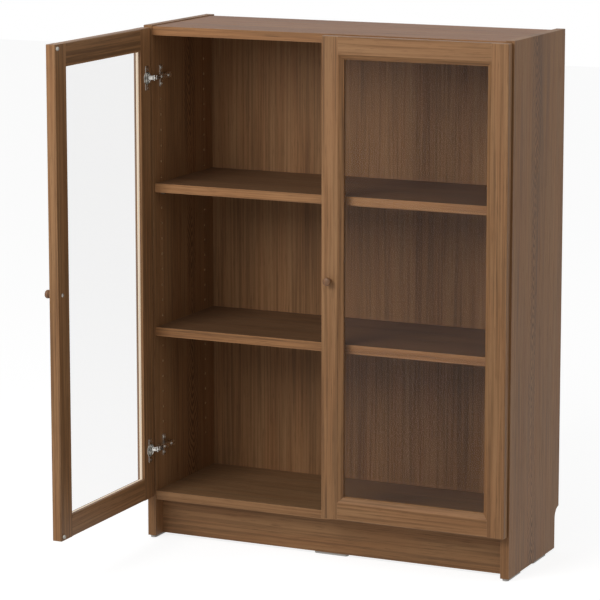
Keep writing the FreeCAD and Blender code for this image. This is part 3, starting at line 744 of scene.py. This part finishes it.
# ---- operators
class BookcaseOperator:
    """What the operators share."""

    bl_options = {"REGISTER", "UNDO"}

    def fixings(self, name, node, bm, material, way, slot="nickel_steel"):
        """One fixing, made round Z with its tip at 0, in place of every solid of a CAD
        node; way says where a solid with these corners points."""
        places = [(tip(*box, way(*box)), way(*box)) for box in solid_boxes(node)]
        mesh = repeated_mesh(name, bm, places, material)
        to_object(name, mesh, material, "carcass", slot, node)

    def softened(self, name, node, width, material, body, slot, shortest=0.0):
        """A CAD node with its edges rounded; width and shortest edge are in mm."""
        mesh = rounded_mesh(name, frame["nodes"][node].data, width * MM, shortest * MM)
        to_object(name, mesh, material, body, slot, node)


class BOOKCASE_OT_side_panels(BookcaseOperator, bpy.types.Operator):
    """Make the two side panels, with their lines of holes"""
    bl_idname = "bookcase.side_panels"
    bl_label = "Side panels"

    def execute(self, context):
        raw = moulded("raw_chipboard", chosen.foil.raw, 0.8, 1500, 0.5)
        for number, side in enumerate(SIDES):
            node = side + "_side_panel"
            low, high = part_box(node)
            material = walnut("walnut_" + node, low, high, "Z", seed=11.3 + 8.1 * number,
                              heart=0.03 - 0.05 * number)
            inner = low.x if side == "right" else high.x
            mesh = self.panel_mesh(node, low, high)
            mesh.materials.append(material)
            mesh = self.drilled(node, mesh, inner, low.y, material, raw)
            to_object(side + "_panel", mesh, material, "carcass", "side_board", node)
        return {"FINISHED"}

    def panel_mesh(self, node, low, high):
        """Outline with the skirting notch, read from the CAD solid's rear edge."""
        points = [v.co for v in frame["nodes"][node].data.vertices]
        near = 0.01 * MM
        notch_top = min(p.z for p in points if p.y > high.y - near)
        foot_rear = max(p.y for p in points if p.z < low.z + near)
        radius = high.y - foot_rear
        outline = [(foot_rear, low.z), (low.y, low.z), (low.y, high.z), (high.y, high.z)]
        steps = 8
        for n in range(steps + 1):
            angle = math.pi / 2 * n / steps
            outline.append((high.y - radius * math.sin(angle),
                            notch_top - radius * (1 - math.cos(angle))))
        bm = bmesh.new()
        skin(bm, [[(x, y, z) for y, z in outline] for x in (low.x, high.x)])
        bevel_edges(bm, chosen.foil.rounding)
        return closed_mesh(node, bm)

    def drilled(self, node, mesh, inner, front, material, raw):
        """The panel with holes from its inner face; their insides are raw board."""
        sizes = chosen.sizes
        holder = linked(node + "_holder", mesh)
        modifier = holder.modifiers.new("Holes", "NODES")
        modifier.node_group = hole_tree(node + "_holes", material, raw)
        first = front + sizes.hole_inset
        set_inputs(modifier, {
            "Radius": sizes.hole_radius, "Depth": sizes.hole_depth,
            "Pitch": sizes.hole_pitch, "Count": sizes.hole_count,
            "Front line": (inner, first, sizes.first_hole),
            "Rear line": (inner, first + sizes.hole_spacing, sizes.first_hole)})
        return evaluated(holder, node)


class BOOKCASE_OT_boards(BookcaseOperator, bpy.types.Operator):
    """Make the top, the shelves, the bottom, the plinth and the back"""
    bl_idname = "bookcase.boards"
    bl_label = "Boards"

    def execute(self, context):
        # Colour factors of each board's wide faces and front edge: painted shade that darkens the
        # shelves, the bottom, the back and the top, and painted light that brightens the front
        # edges of the top and the shelves.
        shelf, strip = (0.58, 0.6, 0.68), (1.25, 1.2, 1.15)
        boards = {"top_board": ("X", 2.7, (0.9, 0.79, 0.71), strip),
                  "fixed_shelf": ("X", 21.9, shelf, strip),
                  "adjustable_shelf": ("X", 31.4, shelf, strip),
                  "bottom_board": ("X", 44.6, (0.76, 0.82, 0.89), WHITE),
                  "plinth_board": ("X", 57.2, WHITE, WHITE),
                  "back_panel": ("Z", 63.8, (0.73, 0.85, 0.97), WHITE)}
        for node, (grain, seed, faces, edge_light) in boards.items():
            low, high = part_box(node)
            slot = "back_board" if node == "back_panel" else "flat_board"
            material = walnut("walnut_" + node, low, high, grain, seed=seed, faces=faces,
                              edge_light=edge_light)
            mesh = block_mesh(node, low, high, rounding=chosen.foil.rounding * 0.8)
            to_object(node.replace("_board", "_plank"), mesh, material, "carcass", slot, node)
        return {"FINISHED"}


class BOOKCASE_OT_fittings(BookcaseOperator, bpy.types.Operator):
    """Make the cam locks, shelf pins, nails and glides, and finish what is hidden"""
    bl_idname = "bookcase.fittings"
    bl_label = "Fittings"

    def execute(self, context):
        self.cam_locks(plated("zinc_cams", chosen.metal.cam, 0.38))
        self.shelf_pins(plated("dull_pins", chosen.metal.pin, 0.5))
        self.nails(plated("nail_heads", chosen.metal.nail, 0.4))
        plastic = moulded("glide_plastic", chosen.metal.plastic)
        for name, node in (("side_foots", "side_glides"), ("plinth_foot", "plinth_glide")):
            self.softened(name, node, 0.5, plastic, "carcass", "glide_plastic")
        paint("cam_bolts", plated("nickel_fittings", chosen.metal.nickel))
        beech = moulded("beech_dowels", chosen.metal.dowel, 0.6, 500, 0.15)
        for node in ("carcass_dowels", "left_frame_dowels", "right_frame_dowels"):
            paint(node, beech)
        return {"FINISHED"}

    def cam_locks(self, material):
        """Disc with a cross slot, its face just clear of the board."""
        def way(low, high):
            sunk_from_below = high.y - low.y > 13 * MM
            return (0, 0, -1) if sunk_from_below else (0, 1, 0)

        disc = cross_head(in_mm([(7.4, -2), (7.4, 0.06), (7.1, 0.12)]), (5.18, 1.036, 1.4))
        self.fixings("cam_discs", "cam_locks", disc, material, way)

    def shelf_pins(self, material):
        """Round pin with a wider, rounded head that the shelf lies on."""
        outline = [(2.4, -17), (2.4, -8), (4, -7.95), (4, -0.8), (3.7, -0.2), (3.0, 0)]
        peg = turned_piece(in_mm(outline), count=28)
        self.fixings("shelf_pegs", "shelf_pins", peg, material, inward)

    def nails(self, material):
        """Small flat head on the back panel."""
        outline = [(0.8, -12), (0.8, -0.3), (1.9, 0.05), (1.9, 0.25), (1.4, 0.4)]
        nail = turned_piece(in_mm(outline), count=16)
        self.fixings("nail_heads", "back_nails", nail, material,
                     lambda low, high: (0, 1, 0), "nail_steel")


class BOOKCASE_OT_doors(BookcaseOperator, bpy.types.Operator):
    """Make the door frames, their panes and the glazing tape"""
    bl_idname = "bookcase.doors"
    bl_label = "Doors"

    def execute(self, context):
        members = (("hinge_stile", "hinge_post", "Z"), ("knob_stile", "knob_post", "Z"),
                   ("top_rail", "top_bar", "X"), ("bottom_rail", "bottom_bar", "X"))
        pane = clear_pane("clear_pane")
        # The tape glows at 0.7: painted light on the pale tape in front of the panes.
        tape = moulded("glazing_tape", chosen.metal.seal, 0.5, 900, 0.1, 0.7)
        for number, side in enumerate(SIDES):
            place = door_place(side)
            for order, (member, piece, grain) in enumerate(members):
                node = side + "_" + member
                low, high = box_in(place, node)
                # worn also sets the painted edge highlight, stronger on the doors.
                material = walnut("walnut_" + node, low, high, grain, place,
                                  seed=71.3 + 17.9 * number + 3.7 * order, bold=0.52,
                                  gloss=0.46, worn=0.6)
                plain = closed_mesh(node, merged(frame["nodes"][node].data))
                mesh = reshaped(node, plain, place, self.rear_lip(member, low, high))
                mesh = rounded_mesh(node, mesh, chosen.foil.rounding * 0.8, shortest=30 * MM)
                to_object(side + "_" + piece, mesh, material, side + "_door", "frame_wood", node)
            paint(side + "_door_glass", pane)
            self.seal(side, place, tape)
        return {"FINISHED"}

    def seal(self, side, place, material):
        """Flat tape all round, between the pane's front and its groove."""
        low, high = box_in(place, side + "_door_glass")
        outer, inner = 0.3 * MM, chosen.sizes.tape_reach
        rear = high.y + 0.02 * MM
        front = rear + chosen.sizes.tape_depth
        bm = bmesh.new()
        loops = []
        for y, inset in ((rear, outer), (rear, inner), (front, inner), (front, outer)):
            left, right = low.x + inset, high.x - inset
            bottom, top = low.z + inset, high.z - inset
            spots = ((left, y, bottom), (right, y, bottom), (right, y, top), (left, y, top))
            loops.append([bm.verts.new(place @ Vector(spot)) for spot in spots])
        for n in range(4):
            joined_loops(bm, loops[n], loops[(n + 1) % 4])
        to_object(side + "_tape", closed_mesh(side + "_tape", bm), material,
                  side + "_door", "bumper_plastic")

    def rear_lip(self, member, low, high):
        """Blocks that widen the lip behind the pane: the stiles' run full height, and
        the rails stop at them."""
        rear, front = low.y, low.y + chosen.sizes.lip_depth
        flat, stile = chosen.sizes.flat, chosen.sizes.stile_lip
        if member.endswith("stile"):
            start, end = self.lip_span(low.x, high.x, stile)
            return [("UNION", (start, rear, low.z), (end, front, high.z))]
        start, end = self.lip_span(low.z, high.z, chosen.sizes.rail_lip)
        outer, inner = low.x - flat, low.x - flat + stile
        changes = [("UNION", (inner + MM, rear, start), (-inner - MM, front, end))]
        for left, right in ((outer, inner), (-inner, -outer)):
            changes.append(("DIFFERENCE", (left, rear - MM, low.z - MM),
                            (right, front, high.z + MM)))
        return changes

    def lip_span(self, low, high, width):
        """A lip's part of a member that runs from low to high, on the pane's side: from
        under the front's flat to the lip's full width."""
        inward = -1 if high > 0 else 1
        edge = high if inward < 0 else low
        overlap = 4 * MM
        return sorted((edge + inward * (chosen.sizes.flat - overlap), edge + inward * width))


class BOOKCASE_OT_knobs(BookcaseOperator, bpy.types.Operator):
    """Turn the knobs and make their screws and the bumpers"""
    bl_idname = "bookcase.knobs"
    bl_label = "Knobs and bumpers"

    def execute(self, context):
        nickel = plated("nickel_knob_screw", chosen.metal.nickel)
        silicone = moulded("bumper_silicone", chosen.metal.bumper, 0.3, 500, 0.1)
        for side in SIDES:
            place = door_place(side)
            self.knob(side, place)
            self.screw(side, place, nickel)
            self.bumpers(side, place, silicone)
        return {"FINISHED"}

    def knob(self, side, place):
        low, high = box_in(place, side + "_knob")
        foot, tall = seat(low, high)
        widest, neck = chosen.sizes.knob_radius, chosen.sizes.knob_neck
        outline = [(neck, 0), (neck * 0.96, 0.18 * tall), (neck * 1.12, 0.38 * tall),
                   (widest * 0.97, 0.6 * tall), (widest, 0.74 * tall),
                   (widest * 0.93, 0.88 * tall), (widest * 0.72, 0.965 * tall),
                   (widest * 0.3, tall)]
        bm = turned_piece(rounded_outline(outline, 4), standing(place, foot, (0, 1, 0)), 48)
        material = turned_wood("turned_" + side + "_knob", place @ ((low + high) / 2))
        to_object(side + "_pull", closed_mesh(side + "_pull", bm, 0.7), material,
                  side + "_door", "knob_wood", side + "_knob")

    def screw(self, side, place, material):
        foot, tall = seat(*box_in(place, side + "_knob_screw"))
        shank = in_mm([(1.9, -0.9 * tall / MM), (1.9, -1.3)])
        head = in_mm([(4, -1.3), (4, -0.7), (3.5, -0.25), (2.7, 0)])
        bm = cross_head(shank + head, (2.2, 0.5, chosen.sizes.recess / MM),
                        standing(place, foot, (0, -1, 0)))
        to_object(side + "_pull_screw", closed_mesh(side + "_pull_screw", bm, TURNED), material,
                  side + "_door", "nickel_steel", side + "_knob_screw")

    def bumpers(self, side, place, material):
        """A domed buffer near each end of the knob stile."""
        low, high = box_in(place, side + "_bumpers")
        radius, tall = 4 * MM, high.y - low.y
        dome = [(1, 0), (1, 0.35), (0.9375, 0.62), (0.775, 0.86), (0.5, 0.97), (0.175, 1)]
        bm = bmesh.new()
        for height in (low.z + radius, high.z - radius):
            foot = Vector(((low.x + high.x) / 2, high.y, height))
            turned_piece([(r * radius, h * tall) for r, h in dome],
                         standing(place, foot, (0, -1, 0)), 28, bm=bm)
        to_object(side + "_buffers", closed_mesh(side + "_buffers", bm, 0.7), material,
                  side + "_door", "bumper_plastic", side + "_bumpers")


class BOOKCASE_OT_hinges(BookcaseOperator, bpy.types.Operator):
    """Make the cups, links, arms and plates of the four hinges"""
    bl_idname = "bookcase.hinges"
    bl_label = "Hinges"

    def execute(self, context):
        polish, shortest = 0.18, 0.8
        nickel = plated("nickel_hinges", chosen.metal.nickel, polish)
        for side in SIDES:
            place = door_place(side)
            # The cups' material paints shade inside them.
            mouth = (place @ box_in(place, side + "_upper_hinge_cup")[0], turn_of(place))
            shade_painted_nickel = plated("nickel_" + side + "_cups", chosen.metal.nickel, polish, mouth)
            for level in LEVELS:
                name = side + "_" + level
                self.cup(name, side, place, shade_painted_nickel)
                self.softened(name + "_arm", name + "_hinge_arm", 0.25, nickel,
                              "carcass", "nickel_steel", shortest)
                self.softened(name + "_plate", name + "_mounting_plate", 0.4, nickel,
                              "carcass", "nickel_steel", shortest)
            for size in ("_long", "_short"):
                node = side + size + "_links"
                self.softened(side + size + "_bars", node, 0.2, nickel,
                              node, "nickel_steel", shortest)
        return {"FINISHED"}

    def cup(self, name, side, place, material):
        """Flange with a drawn cup, and the two pins riveted across it."""
        node = name + "_hinge_cup"
        low, high = box_in(place, node)
        radius, depth = chosen.sizes.cup_radius, chosen.sizes.cup_depth
        wall, sheet = 0.8 * MM, 1.0 * MM
        half_wide, half_tall, rim, clipped = 8 * MM, 25 * MM, 14 * MM, 0.9 * MM
        corner = math.atan2(half_tall, half_wide)
        angles = set(even_angles(72))
        for turn in (corner, math.pi - corner, math.pi + corner, 2 * math.pi - corner):
            angles |= {turn - 0.06, turn, turn + 0.06}
        angles = sorted(angles)

        def flange(shrink):
            """Radius of the flange: a plate with clipped corners, and a rim round it."""
            def reach(angle):
                across, along = abs(math.cos(angle)), abs(math.sin(angle))
                flat = min((half_wide - shrink) / max(across, 1e-6),
                           (half_tall - shrink) / max(along, 1e-6))
                if abs(math.atan2(along, across) - corner) < 0.03:
                    flat -= clipped
                return max(flat, rim - shrink)
            return reach

        inner, floor = radius - wall, wall - depth
        outline = [(radius - 0.5 * MM, -depth), (radius, -depth + 0.5 * MM), (radius, 0),
                   (flange(0), 0.02 * MM), (flange(0), sheet - 0.3 * MM),
                   (flange(0.3 * MM), sheet), (inner + 0.5 * MM, sheet),
                   (inner, sheet - 0.6 * MM), (inner, floor + MM), (inner - MM, floor)]
        foot = seat(low, high)[0] + Vector((0, sheet, 0))
        upright = place @ Matrix.Translation(foot) @ Matrix.Rotation(math.pi / 2, 4, "X")
        bm = turned_piece(outline, upright, angles=angles)
        self.pins(bm, side, foot, place)
        to_object(name + "_cup", closed_mesh(name + "_cup", bm, 0.5), material,
                  side + "_door", "nickel_steel", node)

    def pins(self, bm, side, foot, place):
        """Pins on the two axes where the links turn in the cup."""
        back = place.inverted()
        joints = {joint["name"]: joint for joint in frame["joints"]}
        inside = chosen.sizes.cup_radius - 0.4 * MM
        for joint in ("_door_swing", "_short_link_turn"):
            axis = back @ Vector(joints[side + joint]["pos_m"])
            reach = math.sqrt(max(inside ** 2 - (abs(axis.x - foot.x) + MM) ** 2, 1e-6))
            middle = place @ Matrix.Translation((axis.x, axis.y, foot.z))
            turned_piece([(0.95 * MM, -reach), (0.95 * MM, reach)], middle, 20, bm=bm)


class BOOKCASE_OT_screws(BookcaseOperator, bpy.types.Operator):
    """Make the screws of the hinges"""
    bl_idname = "bookcase.screws"
    bl_label = "Hinge screws"

    def execute(self, context):
        nickel = plated("nickel_screws", chosen.metal.nickel, 0.2)
        for kind, head, cross in (("plate_screw", 3.6, 2.1), ("adjusting_screw", 3.2, 2.0)):
            outline = [(1.6, -3.5), (1.6, -1.2), (head, -1.0), (head, -0.35), (head - 0.6, 0)]
            screw = cross_head(in_mm(outline), (cross, 0.45, 0.8), count=24)
            self.fixings(kind + "_heads", kind + "s", screw, nickel, inward)
        for side in SIDES:
            self.cup_screws(side, nickel)
        return {"FINISHED"}

    def cup_screws(self, side, material):
        """Countersunk heads, level with the flange."""
        place = door_place(side)
        back = place.inverted()
        node = side + "_cup_screws"
        face = box_in(place, node)[0].y
        way = tuple(place.to_3x3() @ Vector((0, -1, 0)))
        spots = {}
        for low, high in solid_boxes(node):
            middle = back @ ((low + high) / 2)
            spots[round(middle.z, 4)] = place @ Vector((middle.x, face, middle.z))
        outline = [(1.4, -9), (1.4, -1.7), (3.0, -0.1), (3.0, 0.05), (2.8, 0.14)]
        screw = cross_head(in_mm(outline), (1.9, 0.42, 0.8), count=24)
        name = side + "_cup_screw_heads"
        places = [(spot, way) for spot in spots.values()]
        mesh = repeated_mesh(name, screw, places, material)
        to_object(name, mesh, material, side + "_door", "nickel_steel", node)


class BOOKCASE_OT_stage(BookcaseOperator, bpy.types.Operator):
    """Make the floor, the soft studio light and the camera"""
    bl_idname = "bookcase.stage"
    bl_label = "Stage"

    def execute(self, context):
        self.floor()
        self.world()
        self.lamp("key_lamp", Vector((-0.9, -2.6, 2.15)), 1.6, chosen.stage.key)
        self.lamp("fill_lamp", Vector((2.0, -0.7, 2.5)), 1.8, chosen.stage.fill)
        self.camera()
        return {"FINISHED"}

    def floor(self):
        """White floor that keeps the shadow, just below the glides."""
        bm = bmesh.new()
        bmesh.ops.create_grid(bm, x_segments=12, y_segments=12, size=9.0,
                              matrix=Matrix.Translation((0, 0, -0.4 * MM)))
        mesh = bpy.data.meshes.new("studio_floor")
        bm.to_mesh(mesh)
        bm.free()
        floor = linked("studio_floor", mesh)
        finish = Finish("studio_floor")
        matt = finish.node("ShaderNodeBsdfDiffuse", {"Color": (0.7, 0.7, 0.7)})
        glow = finish.node("ShaderNodeEmission", {"Color": WHITE, "Strength": 1.66})
        values = (self.seen(finish) * 0.5, matt, glow)
        mesh.materials.append(finish.done(finish.node("ShaderNodeMixShader", values)))

    def seen(self, sheet):
        """1 for what the camera, a mirror or a pane looks at."""
        path = sheet.node("ShaderNodeLightPath")
        total = path.out("Is Camera Ray") + path.out("Is Glossy Ray")
        return (total + path.out("Is Transmission Ray")).least(1.0)

    def world(self):
        """Plain light from all round, in front of a white backdrop."""
        world = bpy.data.worlds.new("studio")
        bpy.context.scene.world = world
        world.use_nodes = True
        sheet = NodeSheet(world.node_tree)
        light, backdrop = (
            sheet.node("ShaderNodeBackground", {"Color": WHITE, "Strength": level})
            for level in (chosen.stage.world, chosen.stage.backdrop))
        values = (self.seen(sheet), light, backdrop)
        shader = sheet.node("ShaderNodeMixShader", values)
        sheet.node("ShaderNodeOutputWorld", {"Surface": shader})

    def lamp(self, name, spot, size, watts):
        """Square lamp that faces the middle of the bookcase."""
        data = bpy.data.lights.new(name, "AREA")
        data.size = size
        data.energy = watts
        lamp = linked(name, data)
        lamp.location = spot
        middle = Vector((0, 0, 0.5))
        lamp.rotation_euler = (middle - spot).to_track_quat("-Z", "Y").to_euler()

    def camera(self):
        """Seen from the right and a little above, with a long lens."""
        data = bpy.data.cameras.new("studio_camera")
        image = 600  # the image's sides in pixels, in which the next lines are given
        focal, centre_x, centre_y = 2942.6, 310.09, 240
        data.sensor_width = 36.0
        data.lens = focal / image * data.sensor_width
        data.shift_x = (image / 2 - centre_x) / image
        data.shift_y = (centre_y - image / 2) / image
        data.clip_end = 60
        camera = linked("studio_camera", data)
        camera.location = (2.4039, -5.373, 1.6084)
        down, aside = 0.1644, 0.4353
        camera.rotation_euler = (math.pi / 2 - down, 0, aside)
        bpy.context.scene.camera = camera


class BOOKCASE_PT_panel(bpy.types.Panel):
    """Sidebar panel that lists the pieces"""
    bl_idname = "BOOKCASE_PT_panel"
    bl_label = "Bookcase"
    bl_space_type = "VIEW_3D"
    bl_region_type = "UI"
    bl_category = "Bookcase"

    def draw(self, context):
        for operator in OPERATORS:
            self.layout.operator(operator.bl_idname)
        for group in GROUPS:
            column = self.layout.column(heading=group.__doc__)
            values = getattr(context.scene, group_name(group))
            for name in group.__annotations__:
                column.prop(values, name)


GROUPS = (BookcaseFoil, BookcaseMetal, BookcaseSizes, BookcaseStage)
OPERATORS = (BOOKCASE_OT_side_panels, BOOKCASE_OT_boards, BOOKCASE_OT_fittings,
             BOOKCASE_OT_doors, BOOKCASE_OT_knobs, BOOKCASE_OT_hinges, BOOKCASE_OT_screws,
             BOOKCASE_OT_stage)
CLASSES = GROUPS + OPERATORS + (BOOKCASE_PT_panel,)


def group_name(group):
    return "bookcase_" + group.__name__.replace("Bookcase", "").lower()


def register():
    for item in CLASSES:
        bpy.utils.register_class(item)
    for group in GROUPS:
        setattr(bpy.types.Scene, group_name(group), bpy.props.PointerProperty(type=group))


def unregister():
    for group in GROUPS:
        delattr(bpy.types.Scene, group_name(group))
    for item in reversed(CLASSES):
        bpy.utils.unregister_class(item)


def main():
    register()
    bpy.context.scene.view_settings.view_transform = "Standard"
    for operator in OPERATORS:
        family, name = operator.bl_idname.split(".")
        getattr(getattr(bpy.ops, family), name)()


if __name__ == "__main__":
    main()
